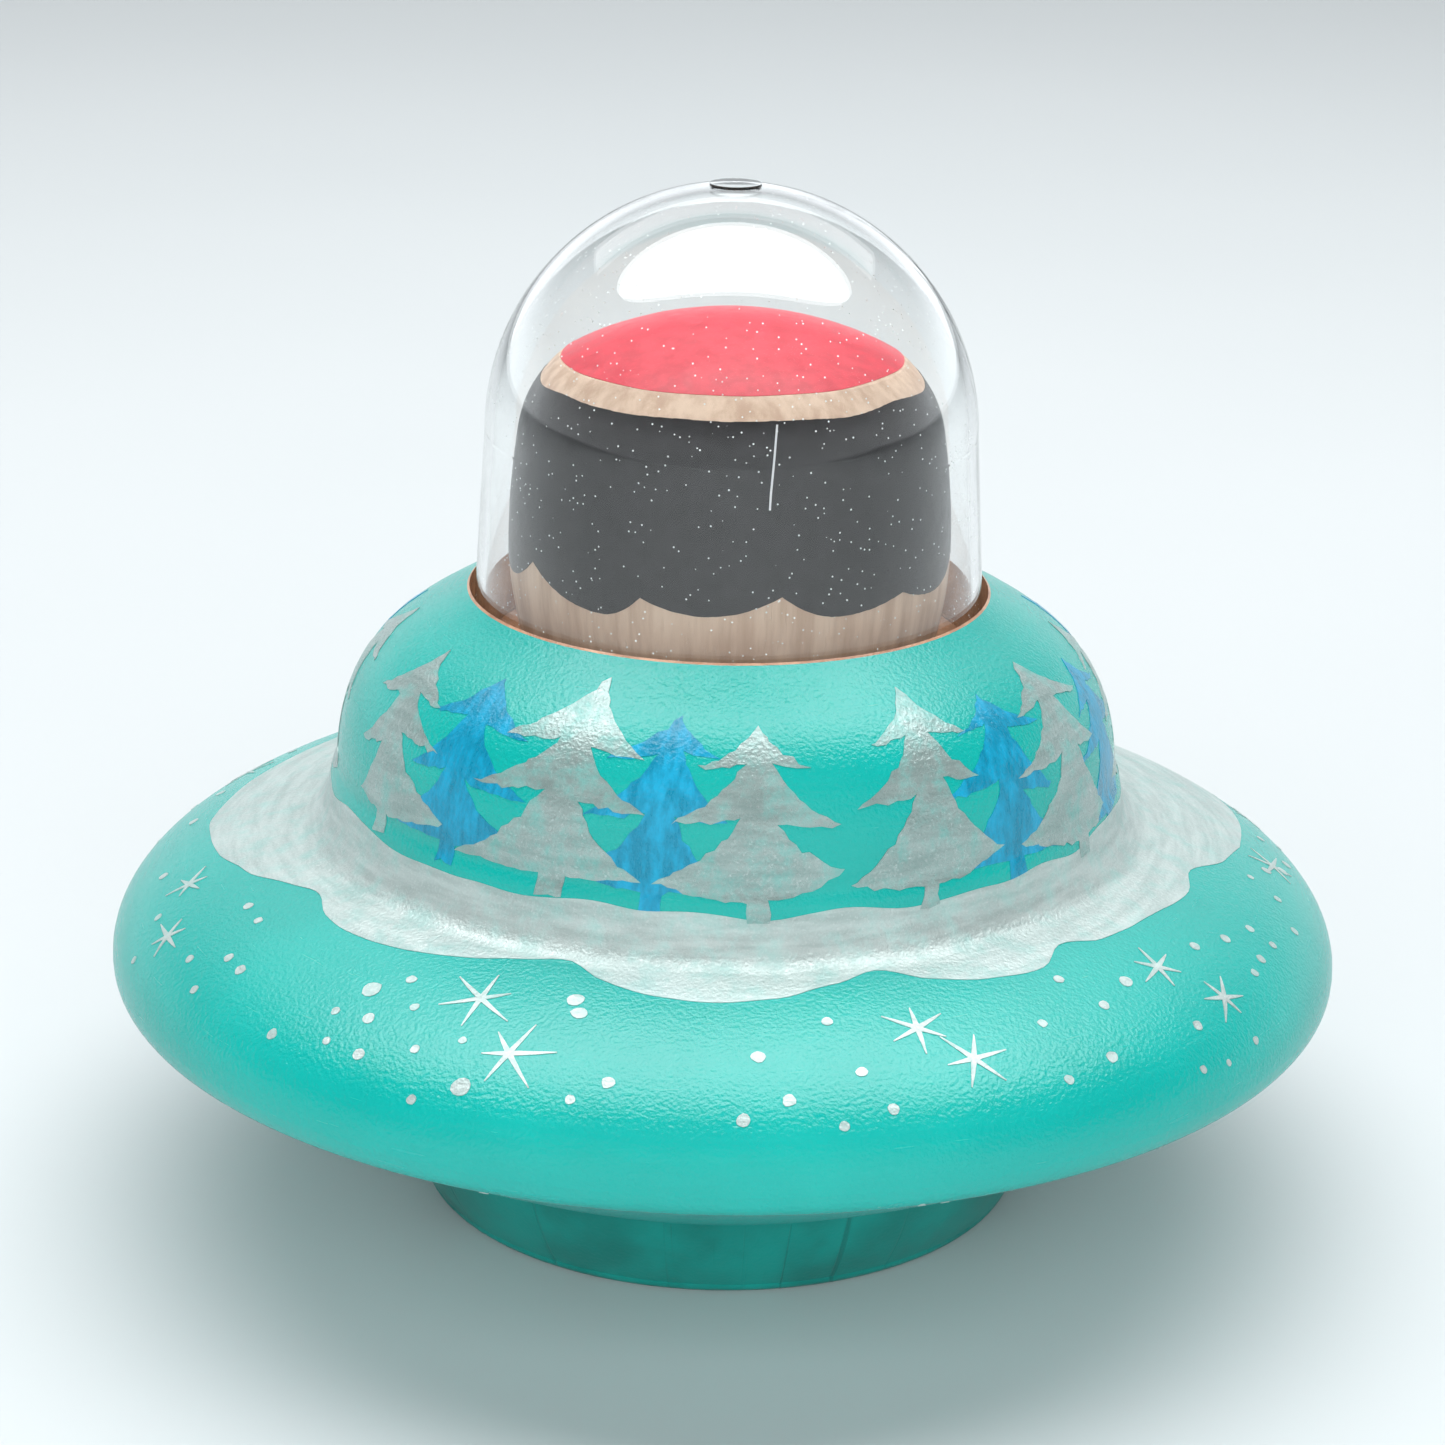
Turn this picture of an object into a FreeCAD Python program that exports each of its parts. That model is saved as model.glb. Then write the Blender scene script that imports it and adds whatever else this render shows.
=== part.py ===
"""Painted wooden flying saucer toy with a clear lift-off dome and a turned doll as its pilot.

Five separate pieces, all turned or moulded round the +Z axis:
  saucer_hull  turned wooden saucer: disc, cove, crown, and the recess that takes the dome
  foot         turned wooden foot, glued under the hull by its round spigot
  dome         clear moulded plastic dome, open below, that stands loose in the recess
  seat_peg     loose hardwood dowel that centres the doll in the recess
  pilot        turned wooden doll, bored from below for the peg
Origin: centre of the foot's underside, where it rests on the table.  +Z is up.  Millimetres.
"""
import FreeCAD, Part
import math
import os

V = FreeCAD.Vector
AXIS = V(0, 0, 1)

# Saucer hull
DISC_R = 61.0           # widest point of the disc
RIM_Z = 25.6            # height of that widest point
COVE_OUT_R = 42.2       # outer end of the cove between the crown and the disc
COVE_OUT_Z = 38.0
COVE_OUT_SLOPE = 14.0   # degrees from level there
CREASE_R = 39.3         # foot of the crown, where the cove starts
CREASE_Z = 41.9
CROWN_SLOPE = 83.0      # the crown's wall is nearly upright at its foot
CROWN_R = 38.4          # widest upright part of the crown's wall
CROWN_Z = 46.0
LIP_R = 25.4            # edge of the recess in the top of the crown
LIP_Z = 61.8
LIP_SLOPE = 40.0
RECESS_DEPTH = 6.0
UNDER_OUT_R = 59.3      # outer end of the dished underside, just inside the rim
UNDER_OUT_Z = 23.1
UNDER_OUT_SLOPE = 28.0
UNDER_IN_R = 34.8       # inner end of the underside, beside the foot
UNDER_IN_Z = 9.6
UNDER_IN_SLOPE = 26.0
# How far each curve of the half section holds the direction of its end, in mm
UNDER_PULL = 8.0        # dished underside, both ends
RIM_LOW_PULL = 0.5      # under the rim, where it leaves the underside
RIM_DOWN_PULL = 1.9     # rim, straight down from its widest point
RIM_UP_PULL = 7.2       # rim, straight up from its widest point into the top of the disc
DISC_PULL = 7.0         # top of the disc, outwards from the cove
COVE_PULL = 1.8         # cove, both ends
CROWN_SIDE_PULL = 3.0   # lower wall of the crown, both ends
CROWN_LEAN = 95.0       # the wall starts to lean in here, in degrees above outwards
CROWN_RISE_PULL = 11.5
LIP_PULL = 5.0

# Foot
FOOT_BASE_R = 30.4
FOOT_TOP_R = 34.4
FOOT_H = 9.6
FOOT_EDGE = 1.0         # rounding of the foot's lower edge
FOOT_FLARE = (1.5, 2.2)     # the bowl side leaves the lower edge in this direction
FOOT_SHOULDER = (0.8, 3.0)  # and reaches the top from this far in and below
SPIGOT_R = 12.0
SPIGOT_L = 9.0
GLUE_GAP = 0.05         # room left round and above a glued spigot

# Dome
DOME_R = 23.85          # outside of the round top
DOME_MID_Z = 77.2       # centre of the round top
DOME_FOOT_R = 25.15     # the wall widens slightly towards its open end
DOME_WALL = 1.0
PAD_R = 2.5             # moulding mark on the crown of the dome
PAD_H = 0.15

# Peg and doll
PEG_R = 4.0
PEG_IN_HULL = 10.0
PEG_IN_DOLL = 6.0
PEG_CHAMFER = 0.6
PEG_FIT = 0.06          # running clearance of the peg on the radius, in the hull and in the doll
PEG_END_GAP = 0.5       # the peg stops short of the bottom of the doll's bore
DOLL_STANDS_OFF = 0.05  # the doll's base clears the recess floor by this much
DOLL_BASE_R = 20.2
DOLL_EDGE = 0.8
DOLL_BELLY_R = 21.5
DOLL_BELLY_Z = 66.0
DOLL_TEMPLE_R = 20.5    # upper end of the nearly straight side
DOLL_TEMPLE_Z = 78.0
DOLL_BROW_R = 16.6      # where the shoulder meets the shallow cap
DOLL_BROW_Z = 84.4
DOLL_TOP_Z = 88.6
DOLL_FOOT_PULL = (0.7, 3.2)     # side above the base: outwards and up
DOLL_BELLY_DOWN = 3.6           # upright stretch below the belly
DOLL_BELLY_UP = 4.0             # and above it
DOLL_TEMPLE_LEAN = (-0.6, 3.2)   # direction of the side at the temple
DOLL_BROW_SLOPE = 40.0
DOLL_BROW_PULL = 1.6
DOLL_CAP_SLOPE = 30.0
DOLL_CAP_PULL = 4.0
DOLL_CROWN_PULL = 7.0           # flat stretch on top, on the radius

FLOOR_Z = LIP_Z - RECESS_DEPTH


def at(r, z):
    """Point of a half section, at radius r and height z."""
    return V(r, 0, z)


def along(point, angle, length):
    """Point reached from another by going length in a direction, in degrees above outwards."""
    a = math.radians(angle)
    return point + V(length * math.cos(a), 0, length * math.sin(a))


def moved(point, step, sign=1):
    """Point moved by a step given as (outwards, up), or against it when sign is -1."""
    return point + V(step[0] * sign, 0, step[1] * sign)


def line(a, b):
    return Part.makeLine(a, b)


def curve(*poles):
    """Smooth Bezier edge through its first and last pole."""
    bezier = Part.BezierCurve()
    bezier.setPoles(list(poles))
    return bezier.toShape()


def arc(a, mid, b):
    return Part.Arc(a, mid, b).toShape()


def turned(edges):
    """Solid of revolution about the Z axis from the edges of a closed half section."""
    face = Part.Face(Part.Wire(edges))
    solid = face.revolve(V(0, 0, 0), AXIS, 360)
    if solid.Volume < 0:
        solid.reverse()
    return Part.Solid(solid.Shells[0]) if solid.ShapeType != "Solid" else solid


def rod(r, z0, z1):
    return Part.makeCylinder(r, z1 - z0, V(0, 0, z0), AXIS)


def saucer_hull():
    """Disc, cove and crown in one turned piece, with its recess, peg hole and spigot hole."""
    bottom = at(0, UNDER_IN_Z)
    under_in = at(UNDER_IN_R, UNDER_IN_Z)
    under_out = at(UNDER_OUT_R, UNDER_OUT_Z)
    edge = at(DISC_R, RIM_Z)
    cove_out = at(COVE_OUT_R, COVE_OUT_Z)
    crease = at(CREASE_R, CREASE_Z)
    crown_side = at(CROWN_R, CROWN_Z)
    lip = at(LIP_R, LIP_Z)
    edges = [
        line(bottom, under_in),
        curve(under_in, along(under_in, UNDER_IN_SLOPE, UNDER_PULL),
              along(under_out, UNDER_OUT_SLOPE, -UNDER_PULL), under_out),
        curve(under_out, along(under_out, UNDER_OUT_SLOPE, RIM_LOW_PULL),
              at(DISC_R, RIM_Z - RIM_DOWN_PULL), edge),
        curve(edge, at(DISC_R, RIM_Z + RIM_UP_PULL),
              along(cove_out, -COVE_OUT_SLOPE, DISC_PULL), cove_out),
        curve(cove_out, along(cove_out, -COVE_OUT_SLOPE, -COVE_PULL),
              along(crease, -CROWN_SLOPE, COVE_PULL), crease),
        curve(crease, along(crease, -CROWN_SLOPE, -CROWN_SIDE_PULL),
              along(crown_side, -90, CROWN_SIDE_PULL), crown_side),
        curve(crown_side, along(crown_side, CROWN_LEAN, CROWN_RISE_PULL),
              along(lip, -LIP_SLOPE, LIP_PULL), lip),
        line(lip, at(LIP_R, FLOOR_Z)),
        line(at(LIP_R, FLOOR_Z), at(0, FLOOR_Z)),
        line(at(0, FLOOR_Z), bottom),
    ]
    body = turned(edges)
    peg_hole = rod(PEG_R + PEG_FIT, FLOOR_Z - PEG_IN_HULL - PEG_END_GAP, FLOOR_Z + 1)
    spigot_hole = rod(SPIGOT_R + GLUE_GAP, UNDER_IN_Z - 1, UNDER_IN_Z + SPIGOT_L + PEG_END_GAP)
    return body.cut(peg_hole).cut(spigot_hole)


def foot():
    """Bowl-sided foot with a spigot that is glued up into the hull."""
    base = at(FOOT_BASE_R - FOOT_EDGE, 0)
    side = at(FOOT_BASE_R, FOOT_EDGE)
    top = at(FOOT_TOP_R, FOOT_H)
    bend = FOOT_EDGE * (1 - math.sqrt(0.5))
    shoulder = at(SPIGOT_R, FOOT_H)
    tip = at(SPIGOT_R, FOOT_H + SPIGOT_L)
    edges = [
        line(at(0, 0), base),
        arc(base, at(FOOT_BASE_R - bend, bend), side),
        curve(side, moved(side, FOOT_FLARE), moved(top, FOOT_SHOULDER, -1), top),
        line(top, shoulder),
        line(shoulder, tip),
        line(tip, at(0, tip.z)),
        line(at(0, tip.z), at(0, 0)),
    ]
    return turned(edges)


def dome():
    """Thin clear shell: half sphere on a slightly flared wall, with a moulding mark on top."""
    inner_r = DOME_R - DOME_WALL
    apex = DOME_MID_Z + DOME_R
    inner_apex = DOME_MID_Z + inner_r
    half = math.sqrt(0.5)
    pad_z = DOME_MID_Z + math.sqrt(DOME_R ** 2 - PAD_R ** 2)
    pad_angle = math.acos(PAD_R / DOME_R)
    middle = pad_angle / 2
    sphere_arc = arc(at(DOME_R, DOME_MID_Z),
                     at(DOME_R * math.cos(middle), DOME_MID_Z + DOME_R * math.sin(middle)),
                     at(PAD_R, pad_z))
    edges = [
        line(at(DOME_FOOT_R, FLOOR_Z), at(DOME_R, DOME_MID_Z)),
        sphere_arc,
        line(at(PAD_R, pad_z), at(PAD_R, apex + PAD_H)),
        line(at(PAD_R, apex + PAD_H), at(0, apex + PAD_H)),
        line(at(0, apex + PAD_H), at(0, inner_apex)),
        arc(at(0, inner_apex), at(inner_r * half, DOME_MID_Z + inner_r * half), at(inner_r, DOME_MID_Z)),
        line(at(inner_r, DOME_MID_Z), at(DOME_FOOT_R - DOME_WALL, FLOOR_Z)),
        line(at(DOME_FOOT_R - DOME_WALL, FLOOR_Z), at(DOME_FOOT_R, FLOOR_Z)),
    ]
    return turned(edges)


def seat_peg():
    """Dowel with both ends chamfered."""
    low = FLOOR_Z - PEG_IN_HULL
    high = FLOOR_Z + PEG_IN_DOLL
    peg = rod(PEG_R, low, high)
    return peg.makeChamfer(PEG_CHAMFER, [e for e in peg.Edges if e.Curve.TypeId == "Part::GeomCircle"])


def pilot():
    """Barrel-shaped doll with a rounded shoulder and a shallow cap, bored for the peg."""
    base_z = FLOOR_Z + DOLL_STANDS_OFF
    base = at(DOLL_BASE_R - DOLL_EDGE, base_z)
    side = at(DOLL_BASE_R, base_z + DOLL_EDGE)
    belly = at(DOLL_BELLY_R, DOLL_BELLY_Z)
    temple = at(DOLL_TEMPLE_R, DOLL_TEMPLE_Z)
    brow = at(DOLL_BROW_R, DOLL_BROW_Z)
    crown = at(0, DOLL_TOP_Z)
    edges = [
        line(at(0, base_z), base),
        line(base, side),
        curve(side, moved(side, DOLL_FOOT_PULL), moved(belly, (0, DOLL_BELLY_DOWN), -1), belly),
        curve(belly, moved(belly, (0, DOLL_BELLY_UP)), moved(temple, DOLL_TEMPLE_LEAN, -1), temple),
        curve(temple, moved(temple, DOLL_TEMPLE_LEAN),
              along(brow, -DOLL_BROW_SLOPE, DOLL_BROW_PULL), brow),
        curve(brow, along(brow, 180 - DOLL_CAP_SLOPE, DOLL_CAP_PULL),
              moved(crown, (DOLL_CROWN_PULL, 0)), crown),
        line(crown, at(0, base_z)),
    ]
    bore = rod(PEG_R + PEG_FIT, base_z - 1, FLOOR_Z + PEG_IN_DOLL + PEG_END_GAP)
    return turned(edges).cut(bore)


def main():
    os.makedirs("parts", exist_ok=True)
    for make in (saucer_hull, foot, dome, seat_peg, pilot):
        make().exportStep(f"parts/{make.__name__}.step")


main()
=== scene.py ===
"""Looks of the painted wooden flying saucer toy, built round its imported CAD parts.

Lengths named here are in mm and angles in degrees, except in the last section, which is in metres.
"""
import math
import random

import bmesh
import bpy
from mathutils import Matrix, Vector, noise
from mathutils.bvhtree import BVHTree


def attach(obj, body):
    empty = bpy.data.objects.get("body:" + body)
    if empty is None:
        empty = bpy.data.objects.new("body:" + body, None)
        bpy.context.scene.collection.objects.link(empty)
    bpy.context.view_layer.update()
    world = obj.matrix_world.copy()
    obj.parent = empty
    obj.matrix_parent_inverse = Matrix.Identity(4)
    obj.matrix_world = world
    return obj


MM = 0.001

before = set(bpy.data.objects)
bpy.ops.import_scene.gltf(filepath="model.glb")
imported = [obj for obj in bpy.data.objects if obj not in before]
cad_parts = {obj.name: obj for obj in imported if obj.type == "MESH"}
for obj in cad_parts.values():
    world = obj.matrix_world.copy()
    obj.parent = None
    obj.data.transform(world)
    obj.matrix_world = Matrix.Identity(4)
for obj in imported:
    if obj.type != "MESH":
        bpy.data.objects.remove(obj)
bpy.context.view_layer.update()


# ---------------------------------------------------------------- surfaces of the turned parts

class Skin:
    """Outside of a turned CAD part, addressed by azimuth (degrees from -Y towards +X) and s,
    the length in mm along the half section, counted upwards or towards the axis from an origin.

    The half section is found with rays that fan out from centre, from angle start to angle end.
    """

    STEPS = 900
    SEAM_ANGLE = math.radians(0.02)     # turns the rays off the seam of the CAD surface
    NORMAL_SPAN = 3                     # rows on either side that give the slope at a row

    def __init__(self, node, centre, start, end, origin):
        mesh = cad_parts[node].data
        tree = BVHTree.FromPolygons([v.co for v in mesh.vertices],
                                    [tuple(p.vertices) for p in mesh.polygons])
        source = Vector((centre[0] * MM, 0, centre[1] * MM))
        self.rows = []
        for k in range(self.STEPS + 1):
            a = math.radians(start + (end - start) * k / self.STEPS)
            ray = Vector((math.cos(a), self.SEAM_ANGLE * math.cos(a), math.sin(a)))
            hit = tree.ray_cast(source, ray)[0]
            if hit is not None:
                self.rows.append([0.0, math.hypot(hit.x, hit.y) / MM, hit.z / MM])
        for a, b in zip(self.rows, self.rows[1:]):
            b[0] = a[0] - math.hypot(b[1] - a[1], b[2] - a[2])
        zero = min(self.rows, key=lambda row: math.hypot(row[1] - origin[0], row[2] - origin[1]))[0]
        for row in self.rows:
            row[0] -= zero
        self.rows.reverse()

    def section(self, s):
        """Radius and height at s, and the outward normal of the half section there."""
        rows = self.rows
        low, high = 0, len(rows) - 1
        while high - low > 1:
            mid = (low + high) // 2
            if rows[mid][0] <= s:
                low = mid
            else:
                high = mid
        a, b = rows[low], rows[high]
        t = min(1.0, max(0.0, (s - a[0]) / (b[0] - a[0])))
        before = rows[max(0, low - self.NORMAL_SPAN)]
        after = rows[min(len(rows) - 1, high + self.NORMAL_SPAN)]
        dr, dz = after[1] - before[1], after[2] - before[2]
        size = math.hypot(dr, dz)
        return a[1] + (b[1] - a[1]) * t, a[2] + (b[2] - a[2]) * t, (dz / size, -dr / size)

    def place(self, azimuth, s, lift):
        """Point in metres that lies lift mm above the surface."""
        r, z, n = self.section(s)
        r = max(0.0, r + n[0] * lift)
        a = math.radians(azimuth)
        return Vector((r * math.sin(a), -r * math.cos(a), z + n[1] * lift)) * MM

    def s_at(self, radius=None, height=None, below=1e9, above=-1e9):
        """s of the row nearest to a radius or a height, among the rows with s in a range."""
        rows = [row for row in self.rows if above < row[0] < below]
        if radius is not None:
            return min(rows, key=lambda row: abs(row[1] - radius))[0]
        return min(rows, key=lambda row: abs(row[2] - height))[0]

    def degrees(self, s, length):
        """Azimuth step that spans a length round the part at s."""
        return math.degrees(length / max(1.0, self.section(s)[0]))


# Radius and height of the points that s is counted from
CREASE = (39.3, 41.9)       # where the crown of the hull meets the cove
DOLL_TOP = (0, 88.6)
DOME_TOP = (0, 101)

hull_skin = Skin("saucer_hull", centre=(30, 30), start=97.8, end=-14, origin=CREASE)
doll_skin = Skin("pilot", centre=(8, 72), start=115.6, end=-48, origin=DOLL_TOP)
dome_skin = Skin("dome", centre=(5, 74), start=100, end=-40, origin=DOME_TOP)
DISC_BELOW_S = -6           # on the hull, the top of the disc lies below this s
CAP_ABOVE_S = -25           # on the doll, the top of the head lies above this s


# ---------------------------------------------------------------- thin films of paint

BURY = 0.12                 # paint reaches this far below the surface it lies on
LIFT_DRIFT = 0.055          # and this far above it
LIFT_SILVER = 0.075
LIFT_BLUE = 0.05
LIFT_DOLL = 0.05
LIFT_SCRATCH = 0.01
CUT_AZIMUTH = 2.0           # longest span of a facet round the part, in degrees
CUT_S = 0.8                 # and along the half section
CUT_REACH = 1e-6            # corners this near to a cut are taken as lying on it
SLIVER = 1e-9               # facets smaller than this are dropped
MERGE_REACH = 1e-8          # corners of a finished piece this near, in metres, are one
SHARP_EDGE = math.radians(40)


def add_layer(bm, skin, corners, faces, lift):
    """Closes flat faces, given over (azimuth, s) corners, into a thin solid film on the skin."""
    top = [bm.verts.new(skin.place(az, s, lift)) for az, s in corners]
    low = [bm.verts.new(skin.place(az, s, -BURY)) for az, s in corners]
    edges = []
    for face in faces:
        bm.faces.new([top[i] for i in face])
        bm.faces.new([low[i] for i in reversed(face)])
        edges += zip(face, face[1:] + face[:1])
    shared = set(edges)
    for a, b in edges:
        if (b, a) not in shared:
            bm.faces.new([top[b], top[a], low[a], low[b]])


def patch(bm, skin, outline, lift):
    """Thin film inside an outline of (azimuth, s) corners."""
    flat = bmesh.new()
    flat.faces.new([flat.verts.new((az, s, 0)) for az, s in outline])
    bmesh.ops.triangulate(flat, faces=flat.faces[:])
    for axis, cut in ((0, CUT_AZIMUTH), (1, CUT_S)):
        low = min(p[axis] for p in outline)
        high = max(p[axis] for p in outline)
        for k in range(math.ceil(low / cut), math.floor(high / cut) + 1):
            place, normal = [0, 0, 0], [0, 0, 0]
            place[axis] = k * cut
            normal[axis] = 1
            bmesh.ops.bisect_plane(flat, geom=flat.verts[:] + flat.edges[:] + flat.faces[:],
                                   dist=CUT_REACH, plane_co=place, plane_no=normal)
    flat.verts.index_update()
    corners = [(v.co.x, v.co.y) for v in flat.verts]
    faces = [[v.index for v in f.verts] for f in flat.faces if f.calc_area() > SLIVER]
    flat.free()
    add_layer(bm, skin, corners, faces, lift)


def ring(bm, skin, upper, lower, lift, step, start=0.0, span=360.0):
    """Band between two edges given as functions of azimuth; closed when it spans 360 degrees."""
    columns = round(span / step)
    closed = span >= 360
    count = columns if closed else columns + 1
    depth = max(upper(start + k * step) - lower(start + k * step) for k in range(count))
    rows = max(2, math.ceil(depth / CUT_S))
    corners = []
    for k in range(count):
        az = start + k * step
        high, low = upper(az), lower(az)
        corners += [(az, low + (high - low) * j / rows) for j in range(rows + 1)]
    faces = []
    for k in range(columns):
        a, b = k * (rows + 1), ((k + 1) % count) * (rows + 1)
        faces += [[a + j, b + j, b + j + 1, a + j + 1] for j in range(rows)]
    add_layer(bm, skin, corners, faces, lift)


def finish_piece(name, bm, body, material):
    """Turns the gathered films into one named piece that rides on a body."""
    bmesh.ops.remove_doubles(bm, verts=bm.verts[:], dist=MERGE_REACH)
    bmesh.ops.dissolve_degenerate(bm, edges=bm.edges[:], dist=MERGE_REACH)
    bmesh.ops.recalc_face_normals(bm, faces=bm.faces[:])
    for face in bm.faces:
        face.smooth = True
    for edge in bm.edges:
        if len(edge.link_faces) == 2 and edge.calc_face_angle() > SHARP_EDGE:
            edge.smooth = False
    mesh = bpy.data.meshes.new(name)
    bm.to_mesh(mesh)
    bm.free()
    mesh.materials.append(material)
    piece = bpy.data.objects.new(name, mesh)
    bpy.context.scene.collection.objects.link(piece)
    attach(piece, body)


# ---------------------------------------------------------------- materials

def rgb(r, g, b):
    """Scene-linear colour from screen values out of 255."""
    def linear(c):
        c /= 255
        return c / 12.92 if c <= 0.04045 else ((c + 0.055) / 1.055) ** 2.4
    return linear(r), linear(g), linear(b), 1.0


# Two shades of each finish, mixed by noise
TURQUOISE = (rgb(0, 156, 148), rgb(0, 168, 159))
RECESS_WOOD = (rgb(196, 150, 118), rgb(158, 112, 84))
# the foot's paint is darker than the hull's: painted shade under the disc
FOOT_PAINT_AND_SHADE = (rgb(0, 114, 106), rgb(2, 139, 130))
# lighter than the trees' silver; partly silver paint, partly a painted highlight on the drift, which faces
# the light above
DRIFT_SILVER_AND_HIGHLIGHT = (rgb(168, 181, 179), rgb(192, 203, 201))
TREE_SILVER = (rgb(143, 156, 154), rgb(167, 178, 176))
BLUE = (rgb(0, 122, 152), rgb(4, 150, 188))
HAIR_BLACK = (rgb(22, 20, 21), rgb(35, 33, 35))
CAP_RED = (rgb(184, 34, 52), rgb(206, 54, 70))
DOLL_WOOD = (rgb(216, 190, 168), rgb(188, 158, 136))
PEG_WOOD = (rgb(222, 190, 150), rgb(190, 150, 112))
SCRATCH_WHITE = (rgb(206, 208, 212), rgb(232, 234, 236))
FLOOR_WHITE = (rgb(196, 202, 204), rgb(203, 208, 210))

CRACK_GREEN = rgb(2, 80, 76)
SILVER_FLAKE = rgb(206, 214, 212)
SHOWING_THROUGH = rgb(62, 168, 160)     # turquoise where the silver is thin
CLEAR = (0.985, 0.995, 0.995, 1.0)
SHADOW_TINT = (0.96, 0.98, 0.98, 1.0)   # light that the dome lets through
DUST = rgb(226, 232, 232)

CAP_EDGE_Z = 84.0           # the doll's paint is red above this height and black below
RECESS_R = 25.6             # just outside the wall of the recess
RECESS_Z = 45.0             # well below its floor
PEEL = 0.12 * MM            # depth of the orange peel in brushed paint
HULL_SPECULAR = 0.6
DOME_SPECULAR = 0.1


class Shader:
    """Small helper that adds nodes to a material and links what it is given."""

    def __init__(self, name):
        self.material = bpy.data.materials.new(name)
        self.material.use_nodes = True
        self.nodes = self.material.node_tree.nodes
        self.links = self.material.node_tree.links
        self.body = self.nodes["Principled BSDF"]

    def add(self, kind, inputs, output=0, **settings):
        node = self.nodes.new(kind)
        for key, value in settings.items():
            setattr(node, key, value)
        for key, value in inputs.items():
            self.put(node, key, value)
        return node.outputs[output]

    def put(self, node, key, value):
        socket = node.inputs[key]
        if isinstance(value, bpy.types.NodeSocket):
            self.links.new(value, socket)
        else:
            socket.default_value = value

    def set(self, **values):
        for key, value in values.items():
            self.put(self.body, key.replace("_", " "), value)

    def math(self, operation, a, b=0.0):
        return self.add("ShaderNodeMath", {0: a, 1: b}, operation=operation)

    def mix(self, factor, a, b):
        return self.add("ShaderNodeMix", {0: factor, 6: a, 7: b}, output=2, data_type="RGBA")

    def ramp(self, value, low, high, to_low=0.0, to_high=1.0):
        return self.add("ShaderNodeMapRange", {0: value, 1: low, 2: high, 3: to_low, 4: to_high},
                        interpolation_type="SMOOTHSTEP")

    def noise(self, vector, scale, detail=3.0, rough=0.5):
        return self.add("ShaderNodeTexNoise", {"Vector": vector, "Scale": scale, "Detail": detail,
                                               "Roughness": rough})

    def place(self):
        """Position on the part in mm, and its x, y and z."""
        coords = self.add("ShaderNodeTexCoord", {}, output="Object")
        scaled = self.add("ShaderNodeVectorMath", {0: coords, "Scale": 1 / MM}, operation="SCALE")
        split = self.nodes.new("ShaderNodeSeparateXYZ")
        self.links.new(scaled, split.inputs[0])
        return scaled, split.outputs[0], split.outputs[1], split.outputs[2]

    def radius(self, x, y):
        return self.math("SQRT", self.math("ADD", self.math("MULTIPLY", x, x),
                                           self.math("MULTIPLY", y, y)))

    def round_axis(self, along, across):
        """Coordinates for noise that is scaled apart round the Z axis and across that."""
        _, x, y, z = self.place()
        r = self.math("MAXIMUM", self.radius(x, y), 0.5)
        around_x = self.math("MULTIPLY", self.math("DIVIDE", x, r), along)
        around_y = self.math("MULTIPLY", self.math("DIVIDE", y, r), along)
        down = self.math("MULTIPLY", self.math("SUBTRACT", r, z), across)
        return self.add("ShaderNodeCombineXYZ", {0: around_x, 1: around_y, 2: down})

    def stretched(self, across, upright):
        """Coordinates for noise that is scaled apart sideways and upwards, such as wood grain."""
        return self.add("ShaderNodeMapping", {"Vector": self.place()[0],
                                              "Scale": (across, across, upright)})

    def bump(self, height, distance, strength=1.0, onto=None):
        inputs = {"Height": height, "Distance": distance, "Strength": strength}
        if onto is not None:
            inputs["Normal"] = onto
        return self.add("ShaderNodeBump", inputs)

    def peel(self, strength, scale=2.6, depth=PEEL):
        """Fine orange peel of brushed paint."""
        return self.bump(self.noise(self.place()[0], scale, 2.0), depth, strength)


def hull_material():
    """Turquoise paint with slow changes and brush streaks; bare wood in the recess."""
    sh = Shader("hull_paint")
    where, x, y, z = sh.place()
    cloud = sh.noise(where, 0.05)
    brush = sh.noise(sh.round_axis(5.0, 1.1), 1.0, 4.0, 0.6)
    amount = sh.math("ADD", sh.ramp(cloud, 0.35, 0.7, 0.0, 0.55), sh.ramp(brush, 0.4, 0.75, 0.0, 0.15))
    grain = sh.noise(sh.round_axis(9.0, 0.15), 1.0, 4.0, 0.6)
    wood = sh.mix(sh.ramp(grain, 0.3, 0.7), *RECESS_WOOD)
    inside = sh.math("MULTIPLY", sh.math("LESS_THAN", sh.radius(x, y), RECESS_R),
                     sh.math("GREATER_THAN", z, RECESS_Z))
    sh.set(Base_Color=sh.mix(inside, sh.mix(amount, *TURQUOISE), wood))
    sh.set(Roughness=sh.ramp(brush, 0.25, 0.8, 0.23, 0.28))
    sh.set(Normal=sh.bump(brush, 0.1 * MM, 0.02, sh.peel(0.8)))
    sh.body.inputs["Specular IOR Level"].default_value = HULL_SPECULAR
    return sh.material


def foot_material():
    """Paint darker than the hull's, which is painted shade for the foot under the disc, and paint that has
    sunk into upright cracks of the grain.
    """
    sh = Shader("foot_paint")
    grain = sh.noise(sh.round_axis(26.0, 0.02), 1.0, 4.0, 0.6)
    crack = sh.ramp(grain, 0.60, 0.68)
    cloud = sh.noise(sh.place()[0], 0.12)
    base = sh.mix(sh.ramp(cloud, 0.3, 0.7), *FOOT_PAINT_AND_SHADE)
    sh.set(Base_Color=sh.mix(sh.math("MULTIPLY", crack, 0.45), base, CRACK_GREEN))
    sh.set(Roughness=sh.ramp(cloud, 0.3, 0.7, 0.34, 0.46))
    peel = sh.peel(0.3, depth=0.1 * MM)
    sh.set(Normal=sh.bump(sh.math("SUBTRACT", 1.0, crack), 0.12 * MM, 0.5, peel))
    return sh.material


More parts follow.
